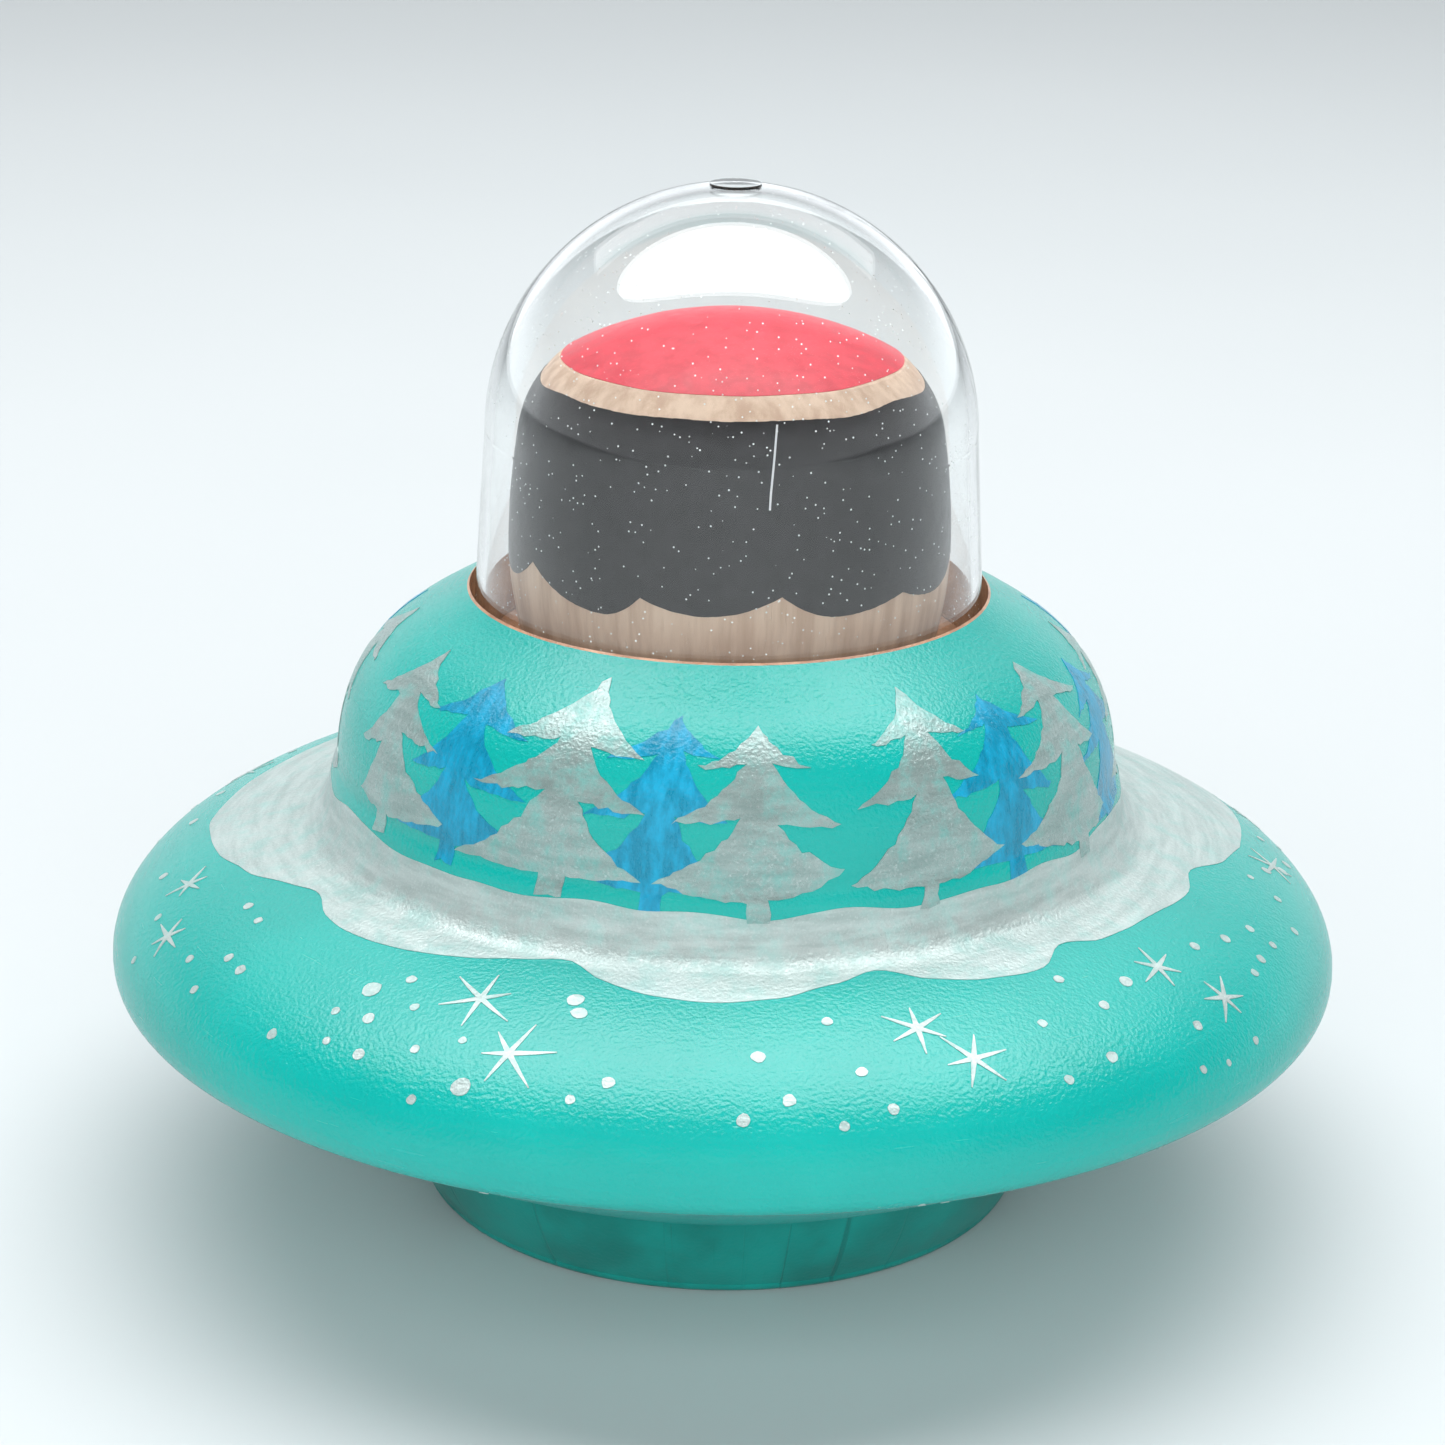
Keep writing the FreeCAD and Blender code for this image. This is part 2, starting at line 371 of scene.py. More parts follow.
def silver_material(name, shades, least, most, matt):
    """Silver paint with fine flakes; least and most say how far turquoise shows through it."""
    sh = Shader(name)
    where = sh.place()[0]
    brush = sh.noise(sh.round_axis(6.0, 0.8), 1.0, 5.0, 0.6)
    patchy = sh.noise(where, 0.4, 5.0, 0.65)
    flake = sh.noise(where, 4.5, 2.0, 0.7)
    tint = sh.mix(sh.ramp(brush, 0.3, 0.7), *shades)
    tint = sh.mix(sh.ramp(flake, 0.52, 0.72, 0.0, 0.5), tint, SILVER_FLAKE)
    thin = sh.ramp(patchy, 0.42, 0.72, least, most)
    sh.set(Base_Color=sh.mix(thin, tint, SHOWING_THROUGH))
    sh.set(Metallic=sh.ramp(patchy, 0.4, 0.7, 0.5, 0.2))
    sh.set(Roughness=sh.ramp(flake, 0.3, 0.75, matt, matt - 0.14))
    sh.set(Normal=sh.bump(flake, 0.05 * MM, 0.4, sh.peel(0.7, 2.8)))
    return sh.material


def blue_material():
    """Blue paint in upright brush strokes of uneven depth."""
    sh = Shader("blue_paint")
    strokes = sh.noise(sh.round_axis(30.0, 0.25), 1.0, 4.0, 0.65)
    sh.set(Base_Color=sh.mix(sh.ramp(strokes, 0.35, 0.68), *BLUE))
    sh.set(Roughness=sh.ramp(strokes, 0.3, 0.7, 0.26, 0.34))
    sh.set(Normal=sh.bump(strokes, 0.1 * MM, 0.25, sh.peel(0.7)))
    return sh.material


def doll_paint_material():
    """Brushed paint, red above the edge of the cap and black below it."""
    sh = Shader("doll_paint")
    where, _, _, z = sh.place()
    brush = sh.noise(where, 0.6, 4.0, 0.6)
    shade = sh.ramp(brush, 0.3, 0.7)
    is_cap = sh.ramp(z, CAP_EDGE_Z - 0.1, CAP_EDGE_Z)
    sh.set(Base_Color=sh.mix(is_cap, sh.mix(shade, *HAIR_BLACK), sh.mix(shade, *CAP_RED)))
    sh.set(Roughness=sh.ramp(brush, 0.25, 0.8, 0.30, 0.42))
    sh.set(Normal=sh.bump(brush, 0.1 * MM, 0.4))
    return sh.material


def wood_material(name, shades):
    """Bare turned wood with upright grain and fine pores."""
    sh = Shader(name)
    figure = sh.noise(sh.stretched(0.55, 0.035), 1.0, 5.0, 0.6)
    fine = sh.noise(sh.stretched(3.2, 0.12), 1.0, 4.0, 0.7)
    base = sh.mix(sh.ramp(figure, 0.32, 0.68), *shades)
    pore = sh.ramp(fine, 0.60, 0.74)
    sh.set(Base_Color=sh.mix(sh.math("MULTIPLY", pore, 0.4), base, shades[1]))
    sh.set(Roughness=sh.ramp(figure, 0.3, 0.7, 0.42, 0.55))
    sh.set(Normal=sh.bump(sh.math("SUBTRACT", 1.0, pore), 0.06 * MM, 0.5))
    return sh.material


def dome_material():
    """Clear plastic, faintly scuffed, with a few specks of dust on it."""
    sh = Shader("clear_plastic")
    where = sh.place()[0]
    sh.set(Base_Color=CLEAR, Transmission_Weight=1.0, IOR=1.49)
    sh.body.inputs["Specular IOR Level"].default_value = DOME_SPECULAR
    scuff = sh.noise(where, 0.3, 5.0, 0.65)
    sh.set(Roughness=sh.ramp(scuff, 0.45, 0.8, 0.015, 0.06))
    sh.set(Normal=sh.bump(sh.noise(where, 0.08, 2.0), 0.25 * MM, 0.12))
    passing = sh.add("ShaderNodeBsdfTransparent", {"Color": SHADOW_TINT})
    in_shadow = sh.add("ShaderNodeLightPath", {}, output="Is Shadow Ray")
    clear = sh.add("ShaderNodeMixShader", {0: in_shadow, 1: sh.body.outputs[0], 2: passing})
    cells = sh.nodes.new("ShaderNodeTexVoronoi")
    sh.put(cells, "Vector", where)
    sh.put(cells, "Scale", 1.5)
    rare = sh.math("LESS_THAN", cells.outputs["Color"], 0.38)
    small = sh.math("LESS_THAN", cells.outputs["Distance"], 0.13)
    mask = sh.math("MULTIPLY", sh.math("MULTIPLY", rare, small), 0.85)
    speck = sh.add("ShaderNodeBsdfDiffuse", {"Color": DUST})
    dusty = sh.add("ShaderNodeMixShader", {0: mask, 1: clear, 2: speck})
    sh.links.new(dusty, sh.nodes["Material Output"].inputs["Surface"])
    return sh.material


def scratch_material():
    """White scuffed plastic."""
    sh = Shader("dome_scratch")
    cloud = sh.noise(sh.place()[0], 1.5)
    sh.set(Base_Color=sh.mix(cloud, *SCRATCH_WHITE), Roughness=0.5)
    sh.set(Normal=sh.bump(cloud, 0.05 * MM))
    return sh.material


def floor_material():
    """Pale matt paper."""
    sh = Shader("floor")
    cloud = sh.noise(sh.place()[0], 0.004)
    sh.set(Base_Color=sh.mix(cloud, *FLOOR_WHITE))
    sh.set(Roughness=sh.ramp(cloud, 0.3, 0.7, 0.5, 0.6))
    return sh.material


# the drift, stars and dots get the lighter silver, which is partly a painted highlight
silver = silver_material("silver_paint", DRIFT_SILVER_AND_HIGHLIGHT, 0.04, 0.34, 0.5)
thin_silver = silver_material("thin_silver_paint", TREE_SILVER, 0.12, 0.58, 0.38)
blue = blue_material()
doll_paint = doll_paint_material()
for node_name, finish in (("saucer_hull", hull_material()), ("foot", foot_material()),
                          ("dome", dome_material()), ("seat_peg", wood_material("bare_wood", PEG_WOOD)),
                          ("pilot", wood_material("doll_wood", DOLL_WOOD))):
    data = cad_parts[node_name].data
    data.materials.clear()
    data.materials.append(finish)


# ---------------------------------------------------------------- trees on the crown of the hull

BRANCH_KNEE = (0.25, 0.62)  # where the upper edge of a branch bends, as shares of its reach and fall
BRANCH_ROOT = (0.16, 0.4)   # half width at its root, as a share of its reach and a length added
BRANCH_GAP = 0.6            # from the tip of a branch up to the root of the next one
BRANCH_SAG = 0.1
SKIRT_RISE = 1.9            # from the foot of the trunk up to the root of the lowest branch
TRUNK_FLARE = 0.15
HAND_STEP = 0.8             # spacing and size of the unsteadiness of the hand
HAND_WOBBLE = 0.42
HAND_PITCH = 0.9
SEED = 11
BLUE_WIDTH = 1.22           # the blue trees in front, beside the widths listed for them

# Trees in front: tip, foot, reach and height of the branches on the left and right, half trunk
SILVER_TREES = (
    ((-61, 20.5), (-56.5, 1.5), ((6, 14), (5.5, 9), (4.5, 4.5)), ((5.5, 15), (8, 11), (10, 5)), 0.8),
    ((-22.5, 23), (-24, 1), ((7.5, 15), (9.5, 10), (11, 3)), ((6.5, 14.5), (8, 9.5), (8.5, 3.5)), 1.3),
    ((5, 18.5), (4.5, 0), ((5.5, 14), (8, 9), (9.5, 3.5)), ((4.5, 14), (7.5, 8.5), (8, 4.5)), 0.9),
    ((32, 21.5), (28.5, 0), ((5, 15.5), (7.5, 10), (8, 3)), ((5, 15.5), (5.5, 11), (8.5, 4)), 0.8),
    ((62, 20), (60, -0.5), ((6, 15), (9.5, 9.5), (10, 3.5)), ((6.5, 14.5), (5.5, 9.5), (7, 2.5)), 1.0),
)
BLUE_TREES = (
    ((-42.5, 20.5), (-41.5, 1.5), ((4.5, 15), (5, 9.5), (7, 3.5)), ((5.5, 14.5), (7, 9), (5.5, 5.5)), 0.9),
    ((-7.5, 19.5), (-10, 0.5), ((5, 14.5), (6, 9), (6.5, 3.5)), ((3.5, 15), (5, 9), (6.5, 2.5)), 0.9),
    ((46.5, 18.5), (44, 0.5), ((4, 15), (7, 9.5), (7, 3)), ((5, 14), (4.5, 8), (7, 2)), 1.0),
    ((77, 17), (71, -0.5), ((4, 12), (6, 8), (5, 2)), ((4.5, 13), (6.5, 9), (7, 3)), 0.9),
)
# Trees behind, which the photograph does not show: azimuth, and which tree in front it repeats
BACK_SILVER = ((92, 2), (121, 4), (151, 1), (180, 3), (211, 0), (241, 2), (270, 4))
BACK_BLUE = ((106, 0), (137, 1), (196, 2), (226, 0), (255, 1))


def hand_edge(skin, outline, seed):
    """Outline with its long edges divided and made slightly unsteady."""
    result = []
    for (az0, s0), (az1, s1) in zip(outline, outline[1:] + outline[:1]):
        around = math.radians(az1 - az0) * skin.section((s0 + s1) / 2)[0]
        parts = max(1, round(math.hypot(around, s1 - s0) / HAND_STEP))
        for k in range(parts):
            az = az0 + (az1 - az0) * k / parts
            s = s0 + (s1 - s0) * k / parts
            shift = noise.noise_vector(Vector((az * HAND_PITCH, s * HAND_PITCH, seed)))
            result.append((az + skin.degrees(s, shift.x * HAND_WOBBLE), s + shift.y * HAND_WOBBLE))
    return result


def bend(a, control, b, parts):
    """Points after a on a quadratic curve from a to b."""
    points = []
    for k in range(1, parts + 1):
        t = k / parts
        points.append(tuple(a[i] * (1 - t) ** 2 + 2 * control[i] * t * (1 - t) + b[i] * t * t
                            for i in (0, 1)))
    return points


def tree_side(top, foot, branches, sign, trunk, size):
    """Outline of one side of a tree from its top down, as (distance from the trunk's middle, s)."""
    points = [(0.0, top)]
    for i, (reach, s) in enumerate(branches):
        start = points[-1]
        end = (sign * reach * size, s)
        knee = tuple(start[j] + BRANCH_KNEE[j] * (end[j] - start[j]) for j in (0, 1))
        points += bend(start, knee, end, 4)
        if i == len(branches) - 1:
            inner = (sign * trunk, foot + SKIRT_RISE)
            sag = BRANCH_SAG
        else:
            inner = (sign * (BRANCH_ROOT[0] * reach + BRANCH_ROOT[1]), s + BRANCH_GAP)
            sag = -BRANCH_SAG
        points += bend(end, (0.5 * (end[0] + inner[0]), min(end[1], inner[1]) + sag), inner, 3)
    return points + [(sign * (trunk + TRUNK_FLARE), foot)]


def fir(bm, tip, foot, left, right, trunk, lift, seed, size):
    """Fir tree: tip and foot are (azimuth, s); left and right list each branch as (reach, s)."""
    outline = (tree_side(tip[1], foot[1], right, 1, trunk, size)[1:]
               + tree_side(tip[1], foot[1], left, -1, trunk, size)[::-1])
    height = tip[1] - foot[1]
    spots = []
    for u, s in outline:
        axis = foot[0] + (tip[0] - foot[0]) * (s - foot[1]) / height
        spots.append((axis + hull_skin.degrees(s, u), s))
    patch(bm, hull_skin, hand_edge(hull_skin, spots, seed), lift)


def forest(front, back, rise, lift, seed, size):
    """Trees in front as listed, and behind the same shapes, each with a lean and size of its own."""
    bm = bmesh.new()
    for n, shape in enumerate(front):
        fir(bm, *shape, lift, seed + n * 3.1, size)
    for n, (azimuth, repeated) in enumerate(back):
        tip, foot, left, right, trunk = front[repeated]
        lean = random.uniform(-3, 3)
        up = random.uniform(-rise, rise) if rise else 0.0
        fir(bm, (azimuth + lean, tip[1] + up), (azimuth, foot[1]), left, right, trunk,
            lift, seed + 20 + n * 2.3, random.uniform(0.92, 1.05))
    return bm


random.seed(SEED)
noise.seed_set(SEED)        # noise_vector would differ from run to run without it
trees = forest(SILVER_TREES, BACK_SILVER, 1.0, LIFT_SILVER, 0, 1.0)
finish_piece("silver_trees", trees, "hull", thin_silver)
trees = forest(BLUE_TREES, BACK_BLUE, 0, LIFT_BLUE, 40, BLUE_WIDTH)
finish_piece("blue_trees", trees, "hull", blue)


# ---------------------------------------------------------------- snow drift, stars and dots

# Lower edge of the snow drift, azimuth and s; the rounded lobes meet at short notches
DRIFT = (
    (-93, -15.5), (-80, -13.5), (-71, -11), (-63, -8.3), (-59, -7.4), (-54, -8.9), (-47, -9.3),
    (-36, -8.1), (-26, -6), (-19, -4.7), (-15, -6.6), (-8, -8.3), (0, -8.9), (7, -8.1), (14, -6.5),
    (19, -5.4), (24, -7.4), (31, -9), (39, -9.4), (44, -7.5), (49, -8.8), (60, -9.6), (70, -10.6),
    (76, -9.9), (82, -12.6), (90, -15.2), (107, -18.8), (118, -19.8), (130, -17), (140, -11.5),
    (147, -8.5), (155, -9.8), (167, -11), (180, -9), (186, -6.5), (193, -8.4), (204, -10),
    (216, -10.3), (222, -8), (230, -10), (242, -12.5), (254, -14.6), (267, -15.5),
)
DRIFT_START = DRIFT[0][0]
DRIFT_TOP = 0.7             # middle and unsteadiness of its upper edge
DRIFT_TOP_WOBBLE = 1.1
DRIFT_LOW_WOBBLE = 0.25


def drift_edge(azimuth):
    """s of the lower edge, by a smooth curve through the neighbouring points."""
    azimuth = (azimuth - DRIFT_START) % 360 + DRIFT_START
    k = max(i for i, p in enumerate(DRIFT) if p[0] <= azimuth)
    k = min(k, len(DRIFT) - 2)
    (a0, s0), (a1, s1) = DRIFT[k], DRIFT[k + 1]
    t = (azimuth - a0) / (a1 - a0)
    before = DRIFT[max(0, k - 1)][1]
    after = DRIFT[min(len(DRIFT) - 1, k + 2)][1]
    m0, m1 = (s1 - before) / 2, (after - s0) / 2
    smooth = ((2 * t ** 3 - 3 * t ** 2 + 1) * s0 + (t ** 3 - 2 * t ** 2 + t) * m0
              + (3 * t ** 2 - 2 * t ** 3) * s1 + (t ** 3 - t ** 2) * m1)
    a = math.radians(azimuth)
    return smooth + DRIFT_LOW_WOBBLE * noise.noise(Vector((math.sin(a) * 12, math.cos(a) * 12, 3)))


def drift_top(azimuth):
    """s of the upper edge."""
    a = math.radians(azimuth)
    return DRIFT_TOP + DRIFT_TOP_WOBBLE * noise.noise(Vector((math.sin(a) * 5, math.cos(a) * 5, 8)))


drift = bmesh.new()
ring(drift, hull_skin, drift_top, drift_edge, LIFT_DRIFT, step=1.25)
finish_piece("snow_drift", drift, "hull", silver)

STAR_SIZE = 1.3
STROKE_TIP = 0.05           # half widths of a brush stroke of a star
STROKE_SHOULDER = 0.18
STROKE_WAIST = 0.28
STROKE_RISE = 0.004         # each stroke lies this much above the one before
DOT_SCALE = 1.3
DOT_WOBBLE = 0.25
DOT_CORNERS = 12
# Stars in front: azimuth, radius, turn, length of the arms
STARS = (
    (-76, 53.5, 20, (1.8, 1.5, 2.4, 1.6, 2.0, 1.5)), (-68, 56.9, 0, (2.2, 1.6, 1.8, 2.4, 1.5, 1.9)),
    (-26, 48.7, 30, (2.1, 2.6, 3.1, 2.9, 2.8, 3.2)), (-20, 53.9, 12, (3.3, 3.0, 2.2, 1.9, 2.6, 3.3)),
    (20, 50.3, 25, (2.4, 2.0, 2.6, 2.2, 2.4, 2.0)), (24, 54.3, 5, (2.6, 2.2, 2.8, 2.0, 2.4, 2.6)),
    (51.5, 51.1, 15, (2.0, 2.2, 1.8, 2.4, 2.0, 1.8)), (55, 56.4, 40, (2.2, 1.8, 2.0, 2.4, 1.6, 2.0)),
)
BACK_STARS = 9              # stars behind, evenly spread before a random shift
BACK_STAR_START = 84
BACK_STAR_STEP = 20
# Dots in front: azimuth, radius, size
DOTS = (
    (-38, 51.0, 0.7), (-35, 48.6, 0.4), (-32, 51.4, 0.35), (-35.6, 53.8, 0.45), (-39.5, 54.2, 0.35),
    (-44, 57.9, 0.4), (-38, 56.8, 0.3), (-34, 57.0, 0.45), (-29, 55.3, 0.35), (-25, 53.5, 0.3),
    (-34, 59.3, 0.3), (-27, 59.0, 0.35), (-23, 57.5, 0.7), (-20, 59.4, 0.35), (-16, 46.9, 0.6),
    (-15, 48.4, 0.55), (-10, 55.4, 0.45), (-13, 57.1, 0.35), (2, 57.9, 0.45), (3.5, 52.2, 0.5),
    (11, 48.5, 0.4), (13, 54.2, 0.4), (6, 56.4, 0.45), (10.5, 58.5, 0.35), (15, 57.6, 0.4),
    (17, 60.0, 0.25), (19.5, 58.8, 0.3), (39, 48.3, 0.4), (46, 51.0, 0.5), (41, 52.4, 0.4),
    (33, 52.3, 0.35), (37.5, 56.9, 0.45), (32, 57.6, 0.35), (49, 57.2, 0.4), (48, 58.8, 0.35),
    (46.5, 59.8, 0.3), (50, 60.1, 0.25), (41, 60.0, 0.3), (55, 59.9, 0.3), (59, 51.4, 0.4),
    (64, 52.7, 0.45), (69, 53.8, 0.4), (69, 56.1, 0.35), (65, 56.0, 0.4), (62, 56.4, 0.35),
    (-64, 50.0, 0.4), (-60, 50.3, 0.35), (-57, 54.5, 0.4), (-54, 54.8, 0.45), (-61.5, 56.7, 0.35),
    (-57, 58.1, 0.35), (-73, 56.9, 0.35), (-70, 59.8, 0.3), (-82, 55.8, 0.4),
)
BACK_DOTS = 56
BACK_DOT_START = 76
BACK_DOT_STEP = 3.4
DOT_RADII = (52.0, 60.2)    # where the dots behind may lie
DRIFT_CLEAR = 1.5           # and how far outside the drift's edge


def star(bm, azimuth, radius, turn, arms):
    """Star of three crossing tapered brush strokes on the top of the disc."""
    s0 = hull_skin.s_at(radius=radius, below=DISC_BELOW_S)
    for k in range(3):
        a = math.radians(turn + 60 * k)
        ahead, behind = STAR_SIZE * arms[k], STAR_SIZE * arms[k + 3]
        profile = [(-behind, STROKE_TIP), (-0.5 * behind, STROKE_SHOULDER), (0, STROKE_WAIST),
                   (0.55 * ahead, STROKE_SHOULDER), (ahead, STROKE_TIP)]
        profile += [(along, -half) for along, half in reversed(profile)]
        turned = [(along * math.cos(a) - half * math.sin(a), along * math.sin(a) + half * math.cos(a))
                  for along, half in profile]
        patch(bm, hull_skin, [(azimuth + hull_skin.degrees(s0, u), s0 + v) for u, v in turned],
              LIFT_SILVER + STROKE_RISE * k)


def dot(bm, azimuth, radius, size, seed):
    """Round, slightly uneven dot of paint on the top of the disc."""
    s0 = hull_skin.s_at(radius=radius, below=DISC_BELOW_S)
    spots = []
    for k in range(DOT_CORNERS):
        a = math.tau * k / DOT_CORNERS
        uneven = noise.noise(Vector((math.cos(a), math.sin(a), seed * 1.7)))
        reach = DOT_SCALE * size * (1 + DOT_WOBBLE * uneven)
        spots.append((azimuth + hull_skin.degrees(s0, reach * math.cos(a)), s0 + reach * math.sin(a)))
    patch(bm, hull_skin, spots, LIFT_SILVER)


sky = bmesh.new()
for azimuth, radius, turn, arms in STARS:
    star(sky, azimuth, radius, turn, arms)
for n in range(BACK_STARS):
    arms = tuple(random.uniform(1.6, 2.9) for _ in range(6))
    azimuth = BACK_STAR_START + n * BACK_STAR_STEP + random.uniform(-5, 5)
    star(sky, azimuth, random.choice((55.0, 57.5)), random.uniform(0, 60), arms)
finish_piece("silver_stars", sky, "hull", silver)

sky = bmesh.new()
for n, (azimuth, radius, size) in enumerate(DOTS):
    dot(sky, azimuth, radius, size, n)
for n in range(BACK_DOTS):
    azimuth = BACK_DOT_START + n * BACK_DOT_STEP + random.uniform(-1.2, 1.2)
    lowest = max(hull_skin.section(drift_edge(azimuth))[0] + DRIFT_CLEAR, DOT_RADII[0])
    dot(sky, azimuth, random.uniform(lowest, DOT_RADII[1]), random.uniform(0.25, 0.5), 100 + n)
finish_piece("silver_dots", sky, "hull", silver)


# ---------------------------------------------------------------- paint of the doll

CAP_RADIUS = 16.4
CAP_WOBBLE = 0.2
CAP_RINGS = 22
CAP_SIDES = 96
HAIR_TOP_Z = 82.6
HAIR_TOP_WOBBLE = 0.35
FACE_HALF = 62.0            # half width of the face opening, in degrees, about azimuth 180
HAIR_HALF = 180 - FACE_HALF
HAIR_ROUNDS = (             # lower edge of the hair: azimuth and height
    (-118, 66.0), (-103, 65.0), (-89, 66.6), (-73, 64.6), (-58, 67.1), (-33, 64.1), (-22, 66.3),
    (-6, 65.0), (13, 66.9), (29, 64.5), (48, 65.6), (63, 64.4), (80, 66.6), (98, 65.0), (118, 66.0),
)
# The face is on the side that the photograph does not show: plain dots for eyes and a small mouth
FACE_AZIMUTH = 180
EYE_TURN = 14
EYE_Z = 74.5
EYE_HALF = (0.9, 1.2)
EYE_CORNERS = 20
MOUTH_Z = 69.5
MOUTH_HALF = 3.0
MOUTH_PARTS = 12
MOUTH_CURVE = 0.14
LIP_HALF = 0.25


def hair_low(azimuth):
    """s of the hair's lower edge: round locks that meet at points between them."""
    k = max(i for i, p in enumerate(HAIR_ROUNDS) if p[0] <= azimuth + 1e-9)
    k = min(k, len(HAIR_ROUNDS) - 2)
    (a0, z0), (a1, z1) = HAIR_ROUNDS[k], HAIR_ROUNDS[k + 1]
    t = min(1.0, max(0.0, (azimuth - a0) / (a1 - a0)))
    ease = t * t if z1 > z0 else 1 - (1 - t) ** 2
    return doll_skin.s_at(height=z0 + (z1 - z0) * ease)


def hair_high(azimuth):
    """s of its upper edge."""
    wave = noise.noise(Vector((azimuth * 0.045, 2, 5)))
    return doll_skin.s_at(height=HAIR_TOP_Z + HAIR_TOP_WOBBLE * wave)


def cap_layer():
    """Round cap made of rings about its middle."""
    edge = doll_skin.s_at(radius=CAP_RADIUS, above=CAP_ABOVE_S)
    corners = [(0.0, -0.02)]
    for j in range(1, CAP_RINGS + 1):
        for k in range(CAP_SIDES):
            a = math.tau * k / CAP_SIDES
            reach = edge - CAP_WOBBLE * noise.noise(Vector((math.cos(a) * 3, math.sin(a) * 3, 1)))
            corners.append((math.degrees(a), reach * j / CAP_RINGS))
    faces = [[0, 1 + (k + 1) % CAP_SIDES, 1 + k] for k in range(CAP_SIDES)]
    for j in range(CAP_RINGS - 1):
        for k in range(CAP_SIDES):
            a, b = 1 + j * CAP_SIDES + k, 1 + j * CAP_SIDES + (k + 1) % CAP_SIDES
            faces.append([a, b, b + CAP_SIDES, a + CAP_SIDES])
    cap = bmesh.new()
    add_layer(cap, doll_skin, corners, faces, LIFT_DOLL)
    return cap


def add_eye(bm, azimuth):
    s0 = doll_skin.s_at(height=EYE_Z)
    spots = []
    for k in range(EYE_CORNERS):
        a = math.tau * k / EYE_CORNERS
        spots.append((azimuth + doll_skin.degrees(s0, EYE_HALF[0] * math.cos(a)),
                      s0 + EYE_HALF[1] * math.sin(a)))
    patch(bm, doll_skin, spots, LIFT_DOLL)


def add_mouth(bm):
    s0 = doll_skin.s_at(height=MOUTH_Z)
    lower, upper = [], []
    for k in range(MOUTH_PARTS + 1):
        u = MOUTH_HALF * (2 * k / MOUTH_PARTS - 1)
        azimuth, s = FACE_AZIMUTH + doll_skin.degrees(s0, u), s0 + MOUTH_CURVE * u * u
        lower.append((azimuth, s - LIP_HALF))
        upper.append((azimuth, s + LIP_HALF))
    patch(bm, doll_skin, lower + upper[::-1], LIFT_DOLL)


finish_piece("doll_cap", cap_layer(), "pilot", doll_paint)

hair = bmesh.new()
ring(hair, doll_skin, hair_high, hair_low, LIFT_DOLL, step=1.0, start=-HAIR_HALF, span=2 * HAIR_HALF)
finish_piece("doll_hair", hair, "pilot", doll_paint)

face = bmesh.new()
add_eye(face, FACE_AZIMUTH - EYE_TURN)
add_eye(face, FACE_AZIMUTH + EYE_TURN)
add_mouth(face)
finish_piece("doll_face", face, "pilot", doll_paint)


# ---------------------------------------------------------------- pale scratch on the dome

SCRATCH = ((10.6, 83.3), (10.1, 81.5), (9.5, 79.0), (9.1, 77.2), (8.9, 75.6))   # azimuth and height
SCRATCH_HALF = 0.22         # half width, in degrees

scratch = bmesh.new()
edge = [(azimuth, dome_skin.s_at(height=z)) for azimuth, z in SCRATCH]
patch(scratch, dome_skin, [(az - SCRATCH_HALF, s) for az, s in edge]
      + [(az + SCRATCH_HALF, s) for az, s in reversed(edge)], LIFT_SCRATCH)
finish_piece("dome_scratch", scratch, "dome", scratch_material())


# ---------------------------------------------------------------- floor, light and camera

FLOOR_SIDE = 4.0
FLOOR_NEAR = -1.2           # just behind the lights; a dark strip further out would mirror in the doll

ROOM_COLOUR = (0.92, 0.97, 1.0, 1.0)
ROOM_DIM = 0.10
ROOM_LOW = 0.8              # added near the line of the floor
ROOM_BEHIND = 0.45          # added behind the object

CAMERA_PLACE = (0.0, -0.3298, 0.1613)
PITCH_DOWN = math.radians(19.07)
YAW = math.radians(-0.07)
ROLL = math.radians(0.965)
LENS = 87.5                 # for a sensor of this width, both in mm
SENSOR = 36.0
CLIP_START = 0.01


def add_floor():
    bm = bmesh.new()
    bm.faces.new([bm.verts.new((x * FLOOR_SIDE, y, 0))
                  for x, y in ((-1, FLOOR_NEAR), (1, FLOOR_NEAR), (1, FLOOR_SIDE), (-1, FLOOR_SIDE))])
    mesh = bpy.data.meshes.new("floor")
    bm.to_mesh(mesh)
    bm.free()
    mesh.materials.append(floor_material())
    floor = bpy.data.objects.new("floor", mesh)
    bpy.context.scene.collection.objects.link(floor)


def softbox(name, centre, width, depth, power, tilt=0.0, shape="RECTANGLE"):
    """Area light that faces down, or tilts up towards +Y by tilt degrees."""
    light = bpy.data.lights.new(name, "AREA")
    light.shape = shape
    light.size = width
    light.size_y = depth
    light.energy = power
    lamp = bpy.data.objects.new(name, light)
    lamp.location = centre
    lamp.rotation_euler = (math.radians(tilt), 0, 0)
    bpy.context.scene.collection.objects.link(lamp)
    return lamp


def fill_light(name, centre, width, depth, power, tilt):
    """Soft light from the front that shows in no reflection."""
    lamp = softbox(name, centre, width, depth, power, tilt)
    lamp.visible_glossy = False
    lamp.visible_transmission = False


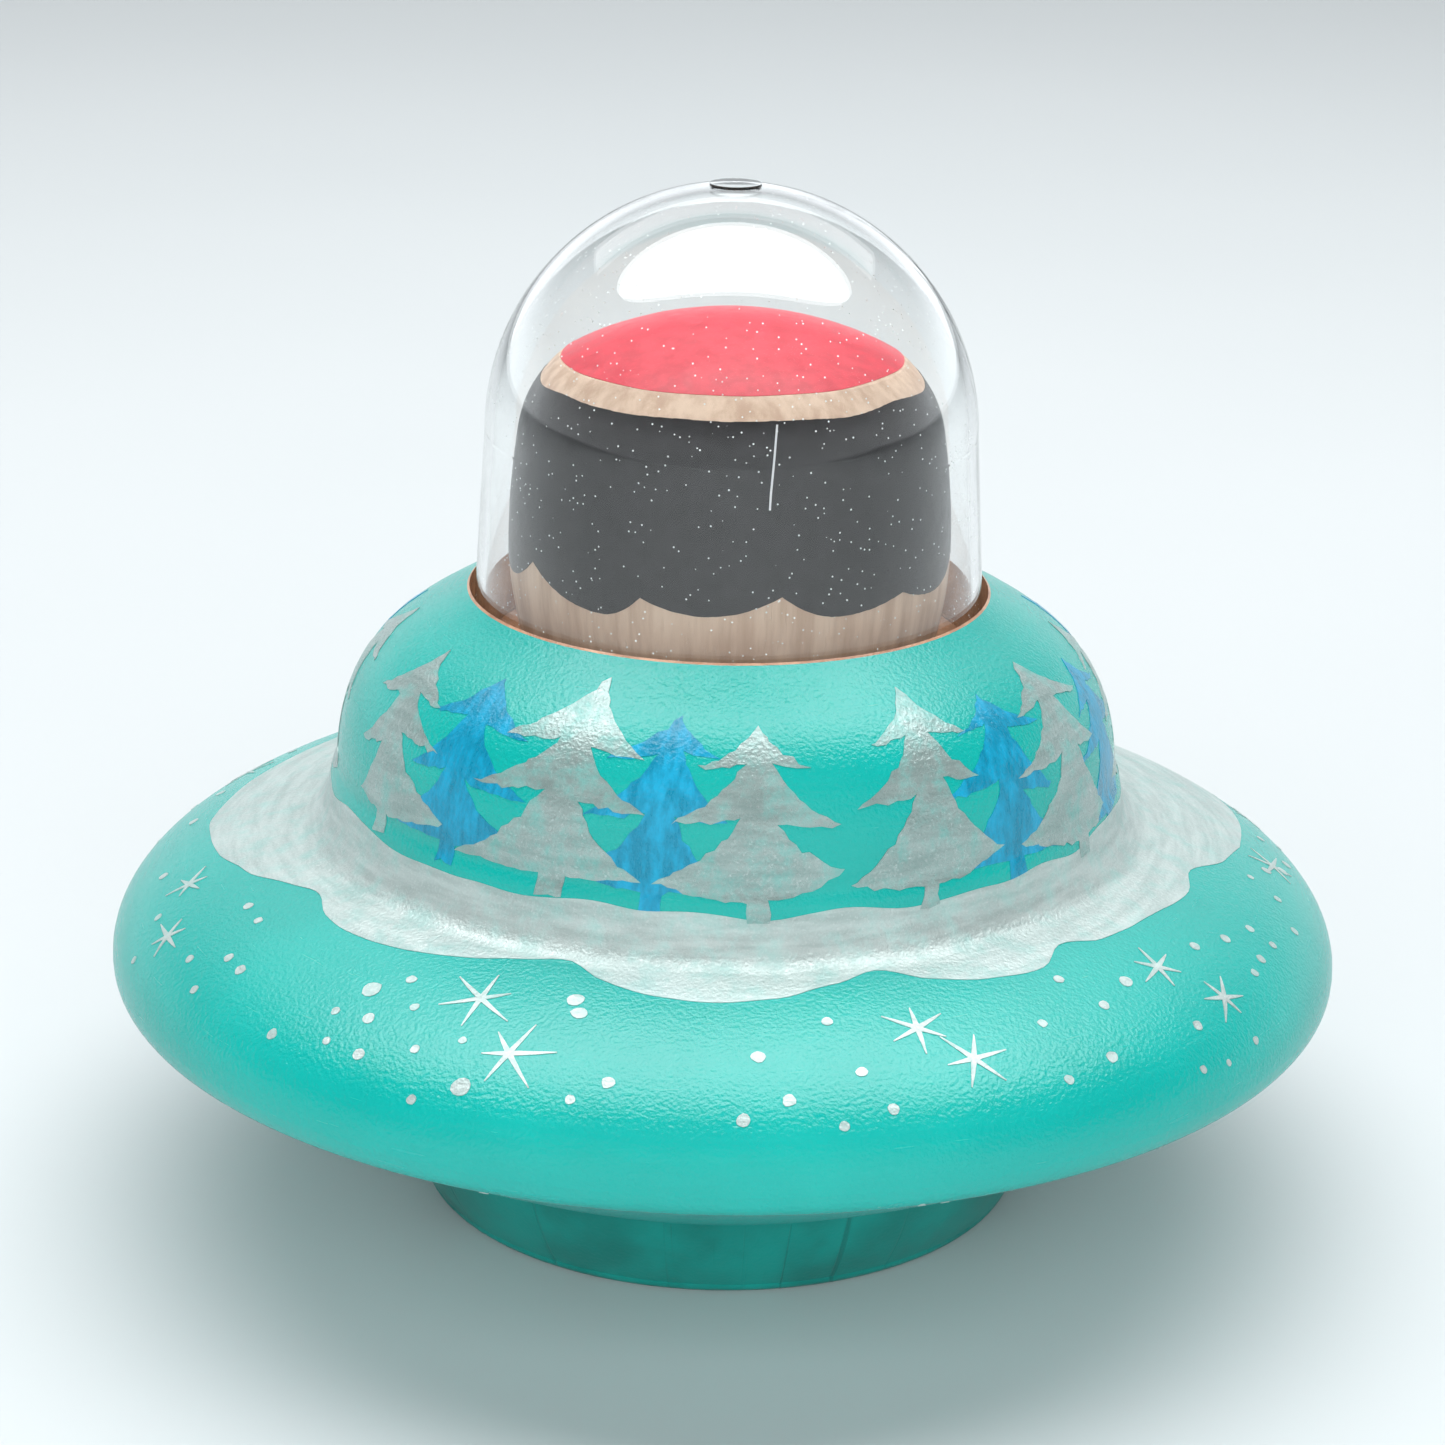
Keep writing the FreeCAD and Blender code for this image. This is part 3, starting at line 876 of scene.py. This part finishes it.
def add_room_light():
    """Brightness of the room: pale near the floor line and behind the object, dim elsewhere."""
    world = bpy.data.worlds.new("room")
    bpy.context.scene.world = world
    world.use_nodes = True
    nodes, links = world.node_tree.nodes, world.node_tree.links
    split = nodes.new("ShaderNodeSeparateXYZ")
    links.new(nodes.new("ShaderNodeTexCoord").outputs["Generated"], split.inputs[0])
    gains = []
    for axis, start, end, gain in (("Z", 0.38, 0.05, ROOM_LOW), ("Y", 0.0, 0.7, ROOM_BEHIND)):
        fade = nodes.new("ShaderNodeMapRange")
        fade.interpolation_type = "SMOOTHSTEP"
        links.new(split.outputs[axis], fade.inputs[0])
        for socket, value in zip((1, 2, 3, 4), (start, end, 0.0, gain)):
            fade.inputs[socket].default_value = value
        gains.append(fade.outputs[0])
    sides = nodes.new("ShaderNodeMath")
    total = nodes.new("ShaderNodeMath")
    for socket, gain in zip(sides.inputs, gains):
        links.new(gain, socket)
    links.new(sides.outputs[0], total.inputs[0])
    total.inputs[1].default_value = ROOM_DIM
    links.new(total.outputs[0], nodes["Background"].inputs["Strength"])
    nodes["Background"].inputs["Color"].default_value = ROOM_COLOUR


def aimed_camera():
    """Camera that stands where the photograph was taken from."""
    forward = Vector((math.sin(YAW) * math.cos(PITCH_DOWN), math.cos(YAW) * math.cos(PITCH_DOWN),
                      -math.sin(PITCH_DOWN)))
    right = Vector((math.cos(YAW), -math.sin(YAW), 0))
    up = right.cross(forward)
    rolled_right = math.cos(ROLL) * right + math.sin(ROLL) * up
    rolled_up = math.cos(ROLL) * up - math.sin(ROLL) * right
    data = bpy.data.cameras.new("camera")
    data.lens = LENS
    data.sensor_width = SENSOR
    data.clip_start = CLIP_START
    camera = bpy.data.objects.new("camera", data)
    camera.matrix_world = (Matrix.Translation(CAMERA_PLACE)
                           @ Matrix((rolled_right, rolled_up, -forward)).transposed().to_4x4())
    bpy.context.scene.collection.objects.link(camera)
    return camera


add_floor()
softbox("softbox", (0.0, 0.18, 0.9), 1.45, 0.7, 10.6, shape="ELLIPSE")
fill_light("low_fill", (0.0, -1.1, 0.4), 2.2, 0.6, 9.5, tilt=72.0)
fill_light("high_fill", (0.0, -1.05, 0.8), 2.4, 0.8, 11.0, tilt=50.0)
softbox("back_softbox", (0.0, 1.4, 1.2), 2.4, 0.9, 6.8)
add_room_light()
bpy.context.scene.camera = aimed_camera()
bpy.context.scene.view_settings.view_transform = "Standard"
